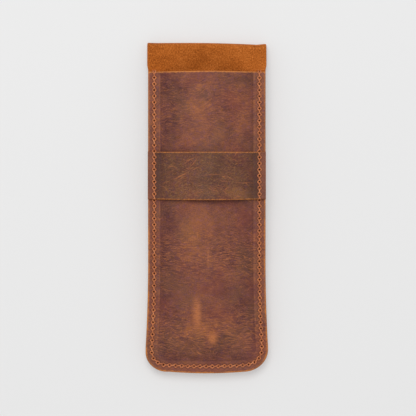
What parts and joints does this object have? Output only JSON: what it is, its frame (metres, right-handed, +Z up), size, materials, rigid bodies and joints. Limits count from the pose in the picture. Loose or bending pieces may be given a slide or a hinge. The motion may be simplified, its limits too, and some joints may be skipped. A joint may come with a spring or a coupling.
{
  "type": "fountain pen case",
  "caption": "Slim stitched leather pocket case for pens lying side by side, with a sewn-in retaining strap and a long fold-over flap, shown folded back.",
  "frame": {"origin": "on the table under the middle of the case as it lies on its back", "axes": "+X across the case, +Y along it towards the pocket's mouth and the flap's fold, +Z up, out of the front"},
  "size_m": [0.061, 0.1656, 0.0226],
  "materials": {
    "grain_leather": "waxed, worn",
    "flesh_side_leather": "suede, matt",
    "strap_leather": "waxed, worn",
    "waxed_thread": "waxed thread"
  },
  "bodies": {
    "case": {"back_panel": "flesh_side_leather", "front_panel": "grain_leather", "strap": "strap_leather", "front_thread": "waxed_thread", "back_thread": "waxed_thread"},
    "flap_fold": {"flap_fold": "flesh_side_leather"},
    "flap_wall": {"flap_wall": "grain_leather"},
    "flap_cover": {"flap_cover": "grain_leather"}
  },
  "joints": [
    {"name": "flap_fold_upper", "type": "hinge", "parent": "case", "child": "flap_fold", "pos_m": [0, 0.08185, 0.00495], "axis": [1, 0, 0], "range_deg": [0, 135]},
    {"name": "flap_fold_lower", "type": "hinge", "parent": "flap_fold", "child": "flap_wall", "pos_m": [0, 0.08185, 0.0009], "axis": [1, 0, 0], "range_deg": [0, 135]},
    {"name": "flap_bend", "type": "hinge", "parent": "flap_wall", "child": "flap_cover", "pos_m": [0, 0.06555, 0.0009], "axis": [1, 0, 0], "range_deg": [0, 90]}
  ],
  "couplings": [
    {"joint": "flap_fold_lower", "follows": "flap_fold_upper", "ratio": 1},
    {"joint": "flap_bend", "follows": "flap_fold_upper", "ratio": 0.6666}
  ]
}
